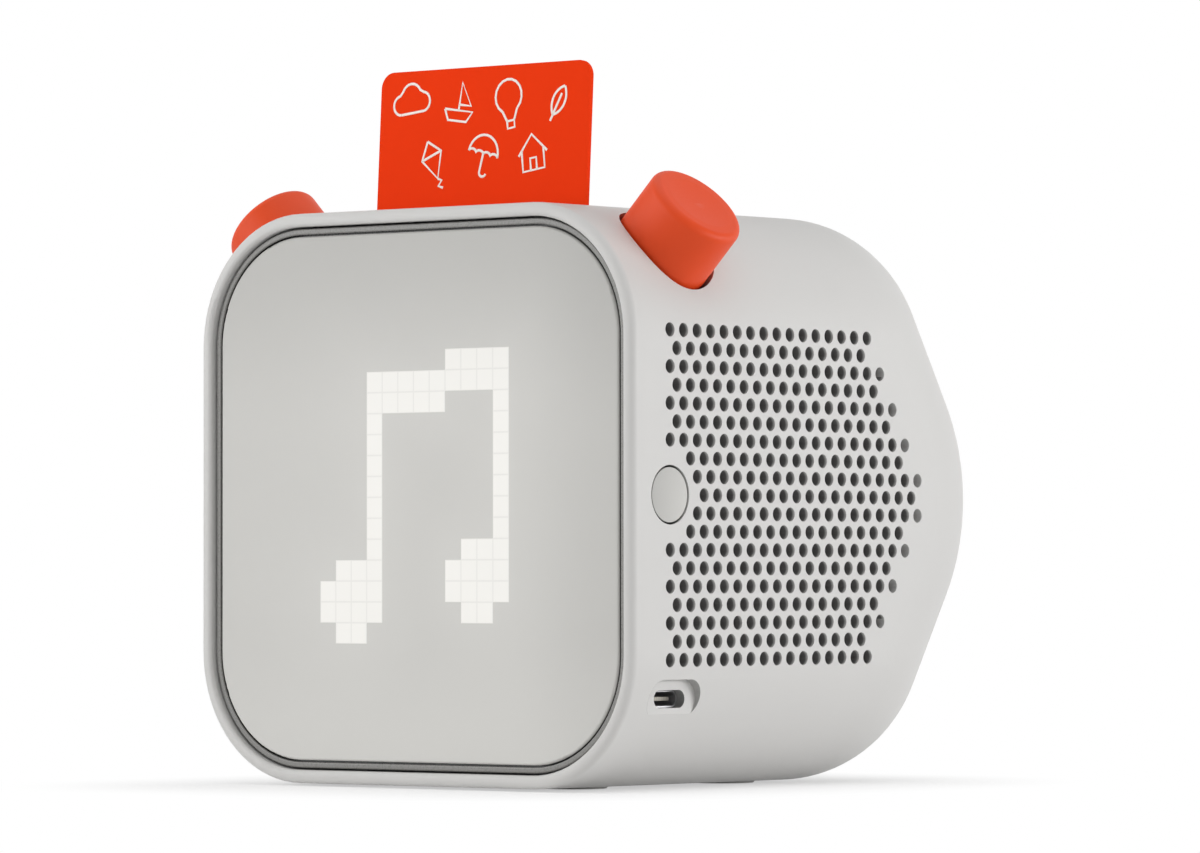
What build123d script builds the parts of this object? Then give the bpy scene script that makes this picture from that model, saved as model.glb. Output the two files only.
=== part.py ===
from build123d import *
import os
from math import cos, radians, sin, sqrt, tan

# An audio story player: a soft-cornered speaker box with a pixel screen in front, two
# push-and-turn knobs on its top corners, and a slot in its top that takes a story card.
#
# Frame: millimetres, +Z up, the screen faces -Y, +X is to the right of a person facing
# the screen. The origin lies on the table, under the middle of the body.

# ---------------------------------------------------------------- body
body_size = 110.8
body_depth = 119.4
corner_radius = 25.5
back_slope = 58.0
back_point_radius = 44.0
back_shoulder_radius = 30.5
wall = 2.6
lip_outer_radius = 1.5
lip_inner_radius = 0.8

# ---------------------------------------------------------------- feet and base screws
foot_stand = 0.5
foot_inset = 0.8
foot_radius = 6.5
foot_gap = 0.1
foot_from_corner = 7.9
front_foot_from_front = 22.4
rear_foot_from_front = 67.4
base_screw_x = 10.0
base_screw_spacing = 30.0
base_screw_sink = 1.4
base_screw_bite = 5.6
base_sink_radius = 2.6

# ---------------------------------------------------------------- screen stack
screen_recess = 1.3
lens_border = 4.5
lens_thickness = 1.6
lens_edge_radius = 0.5
trim_gap_inside = 0.35
trim_gap_outside = 0.4
trim_set_back = 0.12
trim_flange_thickness = 0.8
trim_flange_width = 3.0
gasket_thickness = 0.3
gasket_width = 1.3
pixel_field_border = 23.16
pixels_across = 16
grid_depth = 6.0
grid_web = 0.5
grid_border = 1.4
diffuser_thickness = 0.5
diffuser_gap = 0.1
led_size = 2.0
led_height = 0.8
board_thickness = 1.6
led_board_border = 15.9
led_board_corner = 9.0

# ---------------------------------------------------------------- front chassis
chassis_gap = 0.2
chassis_plate = 2.4
chassis_rim = 2.2
chassis_window_gap = 0.6
chassis_boss_x = 24.0
chassis_boss_inset = 8.4
chassis_boss_radius = 3.2
chassis_boss_length = 7.0
display_screw_inset = 2.3
display_screw_z = 26.0
display_boss_radius = 2.6
display_boss_height = 1.5

# ---------------------------------------------------------------- knobs and encoders
knob_radius = 9.85
knob_stands_out = 10.2
knob_length = 16.8
knob_end_radius = 1.6
knob_dish = 0.25
knob_from_front = 20.0
knob_travel = 1.0
knob_pocket_gap = 0.8
knob_floor_clearance = 0.8
pocket_wall = 2.0
knob_skirt = 2.2
knob_hollow_depth = 6.0
shaft_radius = 3.0
shaft_running_gap = 0.05
shaft_press_gap = 0.02
shaft_in_knob = 8.0
bushing_radius = 3.5
bushing_hole_gap = 0.1
nut_across_flats = 10.0
nut_thickness = 2.0
bushing_past_nut = 1.0
encoder_width = 12.0
encoder_depth = 6.4
encoder_wall = 0.8
push_plate_radius = 4.4
push_plate_thickness = 1.0
push_plate_gap = 0.1
encoder_pin = 0.8
encoder_pin_length = 2.0
encoder_pin_pitch = 2.5
encoder_pin_margin = 1.5

# ---------------------------------------------------------------- story card and chute
card_width = 53.98
card_length = 85.6
card_thickness = 0.76
card_corner = 3.18
card_lean = 3.3
card_from_front = 20.2
card_above_body = 28.4
card_side_shift = 0.5
chute_side_gap = 0.65
chute_face_gap = 0.55
chute_wall = 1.4
chute_below_card = 0.3
felt_thickness = 0.35
felt_height = 8.0
slot_edge_radius = 0.5
ear_low = 11.5
ear_high = 29.0
ear_thickness = 2.0
post_radius = 3.0
post_inset = 11.9
post_margin = 0.5
low_post_height = 14.5
high_post_height = 25.5
antenna_width = 46.0
antenna_height = 30.0
antenna_thickness = 1.0
antenna_above_centre = 18.0

# ---------------------------------------------------------------- side grille
hole_diameter = 2.7
hole_pitch_back = 4.02
hole_pitch_up = 3.44
middle_row_holes = 19
hole_rows = 19
first_hole_from_front = 11.05
button_clear_radius = 8.0
mesh_thickness = 0.3
mesh_margin = 2.0
mesh_border = 0.5
mesh_front_gap = 0.1
mesh_button_gap = 1.0
mesh_post_gap = 0.3

# ---------------------------------------------------------------- power button
button_radius = 5.2
button_gap = 0.4
button_dome = 0.15
button_edge_radius = 0.3
button_flange_extra = 1.2
button_flange_thickness = 1.0
button_rest_gap = 0.05
button_travel = 0.8
button_stem_radius = 1.6
button_stem_length = 2.6
switch_size = 6.0
switch_height = 3.5
plunger_radius = 1.5
plunger_gap = 0.05
plunger_length = 2.2
button_board_size = 13.0
small_board_thickness = 1.2
spring_wire = 0.3
spring_radius = 2.7
spring_turns = 2.5
button_post_radius = 1.6
button_post_spread = 8.4

# ---------------------------------------------------------------- ports
port_from_front = 13.8
port_above_base = 17.1
usb_recess_width = 15.1
usb_recess_height = 7.3
usb_recess_depth = 2.6
usb_floor_thickness = 2.0
usb_pad_border = 1.0
usb_width = 8.94
usb_height = 3.26
usb_depth = 7.3
usb_shell_wall = 0.3
usb_shell_set_back = 1.9
usb_gap = 0.06
tongue_width = 6.69
tongue_thickness = 0.7
tongue_set_back = 1.0
tongue_length = 5.0
jack_hole_radius = 1.78
jack_nose_radius = 3.1
jack_nose_gap = 0.1
jack_bore_depth = 14.0
jack_body_length = 12.0
jack_body_width = 6.0
jack_body_height = 5.0
port_board_width = 12.0
port_board_length = 19.0
port_board_inset = 4.6
port_post_radius = 2.2

# ---------------------------------------------------------------- loudspeakers
speaker_standoff = 2.8
speaker_plate_thickness = 1.6
speaker_plate_radius = 29.0
speaker_plate_width = 34.0
speaker_plate_inset = 15.9
speaker_plate_corner = 4.0
speaker_screw_y = 13.0
speaker_screw_margin = 3.3
speaker_boss_radius = 3.0
speaker_opening_radius = 26.2
cone_radius = 21.5
cone_neck_radius = 7.6
cone_depth = 8.0
cone_thickness = 0.5
coil_radius = 7.3
coil_wall = 0.4
coil_length = 7.0
surround_thickness = 0.4
surround_flange = 2.0
surround_gap = 0.3
cone_rim = 1.2
gasket_ring_width = 2.6
basket_depth = 10.4
basket_wall = 1.2
basket_foot_radius = 17.0
magnet_radius = 15.5
magnet_hole_radius = 8.2
magnet_depth = 8.0
pole_radius = 6.6
yoke_thickness = 2.0
basket_window = 9.0

# ---------------------------------------------------------------- core frame, board, battery
core_inset = 26.8
core_plate = 2.0
core_plate_from_front = 41.4
core_height = 86.0
core_foot_front = 8.0
core_foot_back = 30.0
core_gusset = 2.0
core_gusset_height = 20.0
core_boss_radius = 3.2
core_boss_height = 5.0
main_board_inset = 5.0
main_board_height = 76.0
main_board_lift = 3.0
main_board_above_foot = 4.0
main_board_screw_margin = 3.5
shield_size = 15.0
shield_height = 2.4
shield_x = 2.5
shield_up = 47.0
battery_inset = 7.0
processor_size = 9.0
memory_width = 6.0
memory_height = 8.0
amplifier_size = 6.0
charger_size = 5.0
chip_thickness = 1.0
chip_margin = 7.5
chip_row = 26.0
charger_row = 40.0
connector_width = 8.0
connector_height = 4.0
connector_thickness = 3.0
connector_margin = 12.0
battery_depth = 20.0
battery_height = 70.0
battery_corner = 4.0
battery_gap = 0.3
bracket_thickness = 1.6
bracket_height = 14.0
ribbon_width = 16.0
ribbon_thickness = 0.3
ribbon_tab = 6.0
ribbon_drop = 36.0

# ---------------------------------------------------------------- self-tapping screws
housing_screw_radius = 1.25
housing_head_radius = 2.3
housing_head_height = 1.3
small_screw_radius = 0.95
small_head_radius = 1.9
small_head_height = 1.0
screw_clearance = 0.15
chassis_screw_bite = 5.5
display_screw_bite = 3.0
chute_screw_bite = 5.0
speaker_screw_bite = 3.0
board_screw_length = 5.6
pilot_past_screw = 0.4

# ---------------------------------------------------------------- worked-out places
body_half = body_size / 2
body_z = foot_stand + body_half
front_y = -body_depth / 2
back_y = body_depth / 2
inner_x = body_half - wall
inner_floor_z = foot_stand + wall
far = body_size + body_depth

lens_front_y = front_y + screen_recess
lens_back_y = lens_front_y + lens_thickness
flange_front_y = lens_back_y + gasket_thickness
chassis_front_y = flange_front_y + trim_flange_thickness
diffuser_front_y = lens_back_y + diffuser_gap
grid_front_y = diffuser_front_y + diffuser_thickness
grid_back_y = grid_front_y + grid_depth
chassis_back_y = grid_back_y
led_board_back_y = chassis_back_y + board_thickness
lens_half = body_half - lens_border
trim_inner_half = lens_half + trim_gap_inside
trim_outer_half = inner_x - trim_gap_outside
window_half = trim_inner_half - trim_flange_width
pixel_field_half = body_half - pixel_field_border
pixel_pitch = 2 * pixel_field_half / pixels_across
grid_half = pixel_field_half + grid_border
led_board_half = body_half - led_board_border
display_screw_x = led_board_half - display_screw_inset
chassis_boss_z = body_half - chassis_boss_inset
body_flat = body_half - corner_radius
foot_x = body_flat - foot_from_corner

knob_y = front_y + knob_from_front
knob_reach = sqrt(2) * body_flat + corner_radius + knob_stands_out
knob_bottom = knob_reach - knob_length
pocket_floor = knob_bottom - knob_travel - knob_floor_clearance
pocket_underside = pocket_floor - pocket_wall
pocket_radius = knob_radius + knob_pocket_gap
bushing_top = pocket_floor + nut_thickness + bushing_past_nut
knob_boss_bottom = bushing_top + knob_travel + 0.4
encoder_bottom = pocket_underside - encoder_depth
push_plate_top = pocket_underside - encoder_wall - push_plate_gap

slot_z = body_z + body_half
card_lean_slope = tan(radians(card_lean))
card_y = front_y + card_from_front
chute_half_width = card_width / 2 + chute_side_gap
chute_half_gap = card_thickness / 2 + chute_face_gap
post_x = body_half - post_inset
ear_reach = post_x + post_radius + post_margin

side_hole_y = front_y + first_hole_from_front
speaker_y = side_hole_y + hole_pitch_back * middle_row_holes / 2
speaker_front_x = inner_x - speaker_standoff
speaker_back_x = speaker_front_x - speaker_plate_thickness
speaker_plate_height = 2 * (body_half - speaker_plate_inset)
speaker_screw_z = speaker_plate_height / 2 - speaker_screw_margin
cone_front_x = speaker_front_x
magnet_front_x = speaker_front_x - basket_depth

port_y = front_y + port_from_front
port_z = foot_stand + port_above_base
port_face_x = body_flat + sqrt(corner_radius**2 - (corner_radius - port_above_base) ** 2)
usb_floor_x = body_half - usb_recess_depth
usb_pad_x = usb_floor_x - usb_floor_thickness
port_board_x = port_face_x - port_board_inset
port_board_y = chassis_back_y + 0.3 + port_board_width / 2
port_board_z = port_z - usb_height / 2 - small_board_thickness
jack_body_x = port_board_x + 0.8
jack_nose_x = jack_body_x + 2.0
port_post_x = port_board_x - port_board_length + port_post_radius
port_post_rows = [port_board_y + side * (port_board_width / 2 - port_post_radius) for side in (-1, 1)]

button_inner_x = inner_x - button_rest_gap
stem_end_x = button_inner_x - button_flange_thickness - button_stem_length
switch_top_x = stem_end_x - button_travel - 0.1
switch_base_x = switch_top_x - switch_height
button_board_x = switch_base_x - small_board_thickness

core_y = front_y + core_plate_from_front
core_width = 2 * (inner_x - core_inset)
main_board_width = core_width - 2 * main_board_inset
battery_width = core_width - 2 * battery_inset
board_front_y = core_y - main_board_lift - board_thickness
board_low_z = inner_floor_z + core_plate + main_board_above_foot
battery_low_z = inner_floor_z + core_plate + battery_gap
battery_back_y = core_y + core_plate + battery_gap + battery_depth
bracket_z = battery_low_z + battery_height * 0.6
bracket_screw_x = (battery_width / 2 + battery_gap + bracket_thickness + core_width / 2) / 2
base_screw_middle = core_y + (core_foot_back - core_foot_front) / 2
base_screw_rows = [base_screw_middle + side * base_screw_spacing / 2 for side in (-1, 1)]

SIDES = {"left": -1, "right": 1}


# ---------------------------------------------------------------- helpers
def box(x_low, x_high, y_low, y_high, z_low, z_high):
    """A block between two corners."""
    middle = Pos((x_low + x_high) / 2, (y_low + y_high) / 2, (z_low + z_high) / 2)
    return middle * Box(x_high - x_low, y_high - y_low, z_high - z_low)


def rod(radius, start, end):
    """A round bar from one point to another."""
    along = Vector(*end) - Vector(*start)
    return extrude(Plane(origin=start, z_dir=along) * Circle(radius), amount=along.length)


def facing_front(y, z=None):
    """A drawing plane at depth y that is read as a person sees the screen."""
    height = body_z if z is None else z
    return Plane(origin=(0, y, height), x_dir=(1, 0, 0), z_dir=(0, -1, 0))


def slab(outline, y_low, y_high):
    """A flat outline, seen from the front, thickened from y_low back to y_high."""
    return extrude(facing_front(y_low) * outline, amount=y_low - y_high)


def soft_square(half):
    """A rounded square that runs parallel to the outline of the body."""
    return RectangleRounded(2 * half, 2 * half, corner_radius - (body_half - half))


def square_ring(outer_half, inner_half, y_low, y_high):
    """A frame of constant width that follows the body's outline."""
    return slab(soft_square(outer_half) - soft_square(inner_half), y_low, y_high)


def side_plane(side, x, y, z):
    """A drawing plane on the left or right flank, looking outwards."""
    return Plane(origin=(side * x, y, z), x_dir=(0, 1, 0), z_dir=(side, 0, 0))


def knob_plane(side, reach):
    """A plane square to a knob's axis, at a distance from the body's middle."""
    along = Vector(side, 0, 1).normalized()
    return Plane(origin=Vector(0, knob_y, body_z) + along * reach, x_dir=(0, 1, 0), z_dir=along)


def knob_rod(side, radius, low, high):
    """A round bar on a knob's axis between two distances from the body's middle."""
    return extrude(knob_plane(side, low) * Circle(radius), amount=high - low)


def screw(seat, direction, length, small=True):
    """A pan-head screw whose head stands on seat and whose shank runs along direction."""
    radius = small_screw_radius if small else housing_screw_radius
    head_radius = small_head_radius if small else housing_head_radius
    head_height = small_head_height if small else housing_head_height
    along = Vector(*direction).normalized()
    seat_point = Vector(*seat)
    top = Plane(origin=seat_point - along * head_height, z_dir=along)
    body = extrude(top * Circle(head_radius), amount=head_height)
    body += extrude(Plane(origin=seat_point, z_dir=along) * Circle(radius), amount=length)
    cross = Rectangle(1.2 * head_radius, 0.25 * head_radius)
    cross += Rectangle(0.25 * head_radius, 1.2 * head_radius)
    return body - extrude(top * cross, amount=head_height * 0.6)


def group(solids):
    """Several identical pieces kept as separate solids in one node."""
    return Compound(children=list(solids))


# ---------------------------------------------------------------- the body's form
def side_outline(inset):
    """The body seen from the side: flat top and bottom, and two slopes that meet in a soft point."""
    half = body_half - inset
    slope = radians(back_slope)
    point_radius = back_point_radius - inset
    point_y = back_y - inset + point_radius * (1 / sin(slope) - 1)
    shoulder_y = point_y - half / tan(slope)
    corners = [
        (front_y - wall, -half),
        (shoulder_y, -half),
        (point_y, 0),
        (shoulder_y, half),
        (front_y - wall, half),
    ]
    outline = Polygon(*corners, align=None)
    by_depth = outline.vertices().sort_by(Axis.X)
    outline = fillet(by_depth[-1], point_radius)
    shoulders = outline.vertices().filter_by(lambda v: abs(v.X - shoulder_y) < 0.01)
    return fillet(shoulders, back_shoulder_radius - inset)


def body_form(inset, starts_at):
    """The outer form, moved inwards by inset all over and cut flat at its front."""
    half = body_half - inset
    outline = Plane(origin=(-half, 0, body_z), x_dir=(0, 1, 0), z_dir=(1, 0, 0)) * side_outline(inset)
    block = extrude(outline, amount=2 * half)
    flanks = block.faces().filter_by(Axis.X)
    rim = [e for e in flanks.edges() if e.center().Y > front_y - wall / 2]
    block = fillet(rim, corner_radius - inset)
    return block & box(-far, far, starts_at, far, -far, far)


# ---------------------------------------------------------------- housing
def grille_points():
    """Centres of the side holes as (distance behind the first hole, height over the middle)."""
    points = []
    for row in range(hole_rows):
        steps = abs(row - hole_rows // 2)
        height = (hole_rows // 2 - row) * hole_pitch_up
        shifted = steps % 2 == 0
        last = (middle_row_holes - 0.5 if shifted else middle_row_holes + 0.5) - steps / 2
        column = 0.5 if shifted else 0.0
        while column <= last:
            back = column * hole_pitch_back
            if sqrt(back**2 + height**2) > button_clear_radius:
                points.append((back, height))
            column += 1
    return points


def grille_cutters(side):
    holes = Sketch() + [Pos(back, height) * Circle(hole_diameter / 2) for back, height in grille_points()]
    return extrude(side_plane(side, inner_x - wall, side_hole_y, body_z) * holes, amount=3 * wall)


def rounded_slot(width, height):
    return RectangleRounded(width, height, height / 2 - 0.01)


def slot_at(height, x_half, y_half):
    """The card slot's outline at one height, moved back as the card leans."""
    lean = (height - slot_z) * card_lean_slope
    outline = RectangleRounded(2 * x_half, 2 * y_half, y_half - 0.01)
    return Plane(origin=(0, card_y + lean, height)) * outline


def housing_bosses():
    """Everything that stands on the inside of the wall."""
    parts = []
    for side in SIDES.values():
        for up in (-1, 1):
            x = side * chassis_boss_x
            z = body_z + up * chassis_boss_z
            boss_back_y = chassis_back_y + chassis_boss_length
            parts.append(rod(chassis_boss_radius, (x, chassis_back_y, z), (x, boss_back_y, z)))
            web_z = sorted((z, z + up * far))
            half = chassis_boss_radius * 0.6
            parts.append(box(x - half, x + half, chassis_back_y, boss_back_y, *web_z))
            for back in (-1, 1):
                y = speaker_y + back * speaker_screw_y
                z_screw = body_z + up * speaker_screw_z
                start = (side * speaker_front_x, y, z_screw)
                parts.append(rod(speaker_boss_radius, start, (side * far, y, z_screw)))
        outer_radius = pocket_radius + pocket_wall
        parts.append(knob_rod(side, outer_radius, pocket_underside, far))
        x = side * port_post_x
        for y in port_post_rows:
            parts.append(rod(port_post_radius, (x, y, -far), (x, y, port_board_z)))
    pad = side_plane(1, usb_pad_x, port_y, port_z)
    pad_outline = rounded_slot(usb_recess_width + 2 * usb_pad_border, usb_recess_height + 2 * usb_pad_border)
    parts.append(extrude(pad * pad_outline, amount=far))
    for up in (-1, 1):
        z = body_z + up * button_post_spread
        start = (button_board_x + small_board_thickness, side_hole_y, z)
        parts.append(rod(button_post_radius, start, (far, side_hole_y, z)))
    return parts


def housing_screw_holes():
    """Pilot holes, all blind, except the four that the base screws pass through."""
    cuts = []
    for side in SIDES.values():
        for up in (-1, 1):
            x = side * chassis_boss_x
            z = body_z + up * chassis_boss_z
            pilot_end = chassis_back_y + chassis_screw_bite + pilot_past_screw
            cuts.append(rod(housing_screw_radius, (x, chassis_back_y, z), (x, pilot_end, z)))
            for back in (-1, 1):
                y = speaker_y + back * speaker_screw_y
                z_screw = body_z + up * speaker_screw_z
                start = (side * speaker_front_x, y, z_screw)
                reach = speaker_front_x + speaker_screw_bite + pilot_past_screw
                cuts.append(rod(small_screw_radius, start, (side * reach, y, z_screw)))
        x = side * base_screw_x
        for y in base_screw_rows:
            cuts.append(rod(housing_screw_radius + screw_clearance, (x, y, 0), (x, y, inner_floor_z)))
            cuts.append(rod(base_sink_radius, (x, y, 0), (x, y, foot_stand + base_screw_sink)))
    return cuts


def foot_places():
    rows = (front_y + front_foot_from_front, front_y + rear_foot_from_front)
    return [(side * foot_x, y) for side in SIDES.values() for y in rows]


def housing_openings():
    """What is cut through the wall, apart from the grille."""
    cuts = []
    for side in SIDES.values():
        cuts.append(knob_rod(side, pocket_radius, pocket_floor, far))
        cuts.append(knob_rod(side, bushing_radius + bushing_hole_gap, pocket_underside - 1, pocket_floor + 1))
    button_inside = (inner_x - 1, side_hole_y, body_z)
    cuts.append(rod(button_radius + button_gap, button_inside, (far, side_hole_y, body_z)))
    mouth = side_plane(1, usb_floor_x, port_y, port_z)
    cuts.append(extrude(mouth * rounded_slot(usb_recess_width, usb_recess_height), amount=far))
    hole = rounded_slot(usb_width + 2 * usb_gap, usb_height + 2 * usb_gap)
    cuts.append(extrude(side_plane(1, usb_pad_x - 1, port_y, port_z) * hole, amount=far))
    jack_inside = (-jack_body_x + 2, port_y, port_z)
    cuts.append(rod(jack_nose_radius + jack_nose_gap, jack_inside, (-far, port_y, port_z)))
    low = slot_at(slot_z - 2 * wall, chute_half_width, chute_half_gap)
    high = slot_at(slot_z + wall, chute_half_width, chute_half_gap)
    cuts.append(loft([low, high]))
    for x, y in foot_places():
        cuts.append(rod(foot_radius + foot_gap, (x, y, 0), (x, y, foot_stand + foot_inset)))
    return cuts


def main_housing():
    outer = body_form(0, front_y)
    cavity = body_form(wall, front_y - wall)
    front_edges = outer.faces().sort_by(Axis.Y)[0].edges()
    outer = fillet(front_edges, lip_outer_radius)
    shell = outer - cavity
    lip = shell.faces().sort_by(Axis.Y)[0]
    shell = fillet(lip.inner_wires()[0].edges(), lip_inner_radius)
    trim = body_form(wall / 2, front_y)
    bosses = Part() + housing_bosses()
    shell = shell + (bosses & trim)
    shell = shell - (housing_openings() + housing_screw_holes())
    slot_edges = shell.edges().filter_by(is_slot_mouth)
    shell = fillet(slot_edges, slot_edge_radius)
    return shell - [grille_cutters(side) for side in SIDES.values()]


def is_slot_mouth(edge):
    centre = edge.center()
    on_roof = abs(centre.Z - slot_z) < 0.001
    return on_roof and abs(centre.Y - card_y) < 2 * chute_half_gap and abs(centre.X) < 2 * chute_half_width


# ---------------------------------------------------------------- screen
def screen_lens():
    lens = slab(soft_square(lens_half), lens_front_y, lens_back_y)
    return fillet(lens.faces().sort_by(Axis.Y)[0].edges(), lens_edge_radius)


def screen_trim_ring():
    front = lens_front_y + trim_set_back
    ring = square_ring(trim_outer_half, trim_inner_half, front, chassis_front_y)
    ring = fillet(ring.faces().sort_by(Axis.Y)[0].edges(), 0.3)
    return ring + square_ring(trim_outer_half, window_half, flange_front_y, chassis_front_y)


def lens_gasket():
    return square_ring(lens_half, lens_half - gasket_width, lens_back_y, flange_front_y)


def diffuser_sheet():
    size = 2 * (grid_half - 0.2)
    return slab(Rectangle(size, size), diffuser_front_y, grid_front_y)


def pixel_centres():
    offset = (pixels_across - 1) / 2
    steps = range(pixels_across)
    return [((i - offset) * pixel_pitch, (j - offset) * pixel_pitch) for i in steps for j in steps]


def pixel_grid():
    cell = pixel_pitch - grid_web
    cells = Sketch() + [Pos(x, z) * Rectangle(cell, cell) for x, z in pixel_centres()]
    return slab(Rectangle(2 * grid_half, 2 * grid_half) - cells, grid_front_y, grid_back_y)


def pixel_leds():
    led = Box(led_size, led_height, led_size)
    y = grid_back_y - led_height / 2
    return group(Pos(x, y, body_z + z) * led for x, z in pixel_centres())


def display_screw_places():
    return [(i * display_screw_x, j * display_screw_z) for i in (-1, 1) for j in (-1, 1)]


def led_board():
    outline = RectangleRounded(2 * led_board_half, 2 * led_board_half, led_board_corner)
    board = slab(outline, chassis_back_y, led_board_back_y)
    hole = Circle(small_screw_radius + screw_clearance)
    holes = [slab(Pos(x, z) * hole, chassis_back_y, led_board_back_y) for x, z in display_screw_places()]
    return board - holes


def display_screws():
    seats = [(x, led_board_back_y, body_z + z) for x, z in display_screw_places()]
    return group(screw(seat, (0, -1, 0), board_thickness + display_screw_bite) for seat in seats)


# ---------------------------------------------------------------- front chassis
def post_places():
    return [(side * post_x, z) for side in (-1, 1) for z in (low_post_height, high_post_height)]


def front_chassis():
    outer_half = inner_x - chassis_gap
    plate = slab(soft_square(outer_half), chassis_back_y - chassis_plate, chassis_back_y)
    rim = square_ring(outer_half, outer_half - chassis_rim, chassis_front_y, chassis_back_y)
    chassis = plate + rim
    for x, z in display_screw_places():
        boss = Pos(x, z) * Circle(display_boss_radius)
        chassis += slab(boss, chassis_back_y - chassis_plate - display_boss_height, chassis_back_y)
    window = 2 * (grid_half + chassis_window_gap)
    cuts = [slab(Rectangle(window, window), front_y, chassis_back_y)]
    for x, z in display_screw_places():
        pilot_end = chassis_back_y - display_screw_bite - pilot_past_screw
        cuts.append(slab(Pos(x, z) * Circle(small_screw_radius), pilot_end, chassis_back_y))
    for x, z in post_places():
        cuts.append(slab(Pos(x, z) * Circle(small_screw_radius + screw_clearance), front_y, chassis_back_y))
    for side in SIDES.values():
        reach = pocket_underside - chassis_gap
        cuts.append(knob_rod(side, pocket_radius + pocket_wall + chassis_gap, reach, far))
        notch = sorted((side * (led_board_half + 1.5), side * far))
        half = button_post_spread + button_post_radius + 1.0
        cuts.append(box(*notch, front_y, chassis_back_y, body_z - half, body_z + half))
        for up in (-1, 1):
            hole = Circle(housing_screw_radius + screw_clearance)
            place = Pos(side * chassis_boss_x, up * chassis_boss_z)
            cuts.append(slab(place * hole, front_y, chassis_back_y))
    half = usb_recess_height / 2 + usb_pad_border + chassis_gap
    notch_y = port_y - usb_recess_width / 2 - usb_pad_border - chassis_gap
    cuts.append(box(usb_pad_x - usb_depth - 0.6, far, notch_y, chassis_back_y, port_z - half, port_z + half))
    return chassis - cuts


def chassis_screws():
    seat_y = chassis_back_y - chassis_plate
    seats = [(i * chassis_boss_x, seat_y, body_z + j * chassis_boss_z) for i in (-1, 1) for j in (-1, 1)]
    length = chassis_plate + chassis_screw_bite
    return group(screw(seat, (0, 1, 0), length, small=False) for seat in seats)


# ---------------------------------------------------------------- card and chute
def card_plane(height):
    """The card's middle plane at a height over the body's middle; local Z runs up the card."""
    up = Vector(0, sin(radians(card_lean)), cos(radians(card_lean)))
    drop = height - body_half
    origin = (0, card_y + drop * card_lean_slope, body_z + height)
    return Plane(origin=origin, x_dir=(1, 0, 0), z_dir=up)


def card_block(half_width, half_thickness, low, high):
    """A block on the card's plane, square to the card, between two heights over the middle."""
    length = (high - low) / cos(radians(card_lean))
    return extrude(card_plane(low) * Rectangle(2 * half_width, 2 * half_thickness), amount=length)


card_top = body_half + card_above_body
card_bottom = card_top - card_length * cos(radians(card_lean))
chute_bottom = card_bottom - chute_below_card


def story_card():
    card = card_block(card_width / 2, card_thickness / 2, card_bottom, card_top)
    corners = card.edges().filter_by(lambda e: abs(e.length - card_thickness) < 0.01)
    return Pos(card_side_shift, 0, 0) * fillet(corners, card_corner)


def card_chute():
    """The tube that the card drops into, with ears that screw to the front chassis."""
    roof = body_half - wall
    half_width = chute_half_width + chute_wall
    chute = card_block(half_width, chute_half_gap + chute_wall, chute_bottom - chute_wall, roof)
    ear_y = ear_front_y()
    chute += box(-ear_reach, ear_reach, ear_y, ear_y + ear_thickness, body_z + ear_low, body_z + ear_high)
    cuts = [card_block(chute_half_width, chute_half_gap, chute_bottom, far)]
    for x, z in post_places():
        start = (x, chassis_back_y, body_z + z)
        chute += rod(post_radius, start, (x, ear_y, body_z + z))
        cuts.append(rod(small_screw_radius, start, (x, ear_y + 1, body_z + z)))
    return (chute & box(-far, far, -far, far, -far, body_z + roof)) - cuts


def ear_front_y():
    return card_plane((ear_low + ear_high) / 2).origin.Y - ear_thickness / 2


def chute_screws():
    seat_y = chassis_back_y - chassis_plate
    seats = [(x, seat_y, body_z + z) for x, z in post_places()]
    return group(screw(seat, (0, 1, 0), chassis_plate + chute_screw_bite) for seat in seats)


def card_felts():
    """Two strips at the chute's mouth that steady the card."""
    top = body_half - wall - 2.0
    half = chute_half_width - 1.0
    strips = []
    for face in (-1, 1):
        strip = card_block(half, felt_thickness / 2, top - felt_height, top)
        offset = face * (chute_half_gap - felt_thickness / 2)
        lean = radians(card_lean)
        strips.append(Pos(0, offset * cos(lean), -offset * sin(lean)) * strip)
    return group(strips)


def antenna_board():
    low = antenna_above_centre - antenna_height / 2
    board = card_block(antenna_width / 2, antenna_thickness / 2, low, low + antenna_height)
    offset = chute_half_gap + chute_wall + antenna_thickness / 2
    lean = radians(card_lean)
    return Pos(0, offset * cos(lean), -offset * sin(lean)) * board


# ---------------------------------------------------------------- knobs
def knob_cap(side):
    cap = knob_rod(side, knob_radius, knob_bottom, knob_reach)
    end = cap.faces().sort_by(lambda f: f.center().Z)[-1]
    cap = fillet(end.edges(), knob_end_radius)
    hollow = knob_rod(side, knob_radius - knob_skirt, knob_bottom, knob_bottom + knob_hollow_depth)
    boss = knob_rod(side, shaft_radius + 2.2, knob_boss_bottom, knob_bottom + knob_hollow_depth)
    bore = knob_rod(side, shaft_radius + shaft_press_gap, knob_boss_bottom, knob_boss_bottom + shaft_in_knob)
    return cap - (hollow - boss) - bore - knob_end_dish(side)


def knob_end_dish(side):
    """A shallow saucer in the knob's end."""
    half = knob_radius - 2 * knob_end_radius
    radius = (half**2 + knob_dish**2) / (2 * knob_dish)
    return knob_plane(side, knob_reach - knob_dish + radius) * Sphere(radius)


def encoder_shaft(side):
    top = knob_boss_bottom + shaft_in_knob - 0.3
    return knob_rod(side, shaft_radius, push_plate_top + push_plate_gap, top)


def encoder_push_plate(side):
    return knob_rod(side, push_plate_radius, push_plate_top - push_plate_thickness, push_plate_top)


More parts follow.
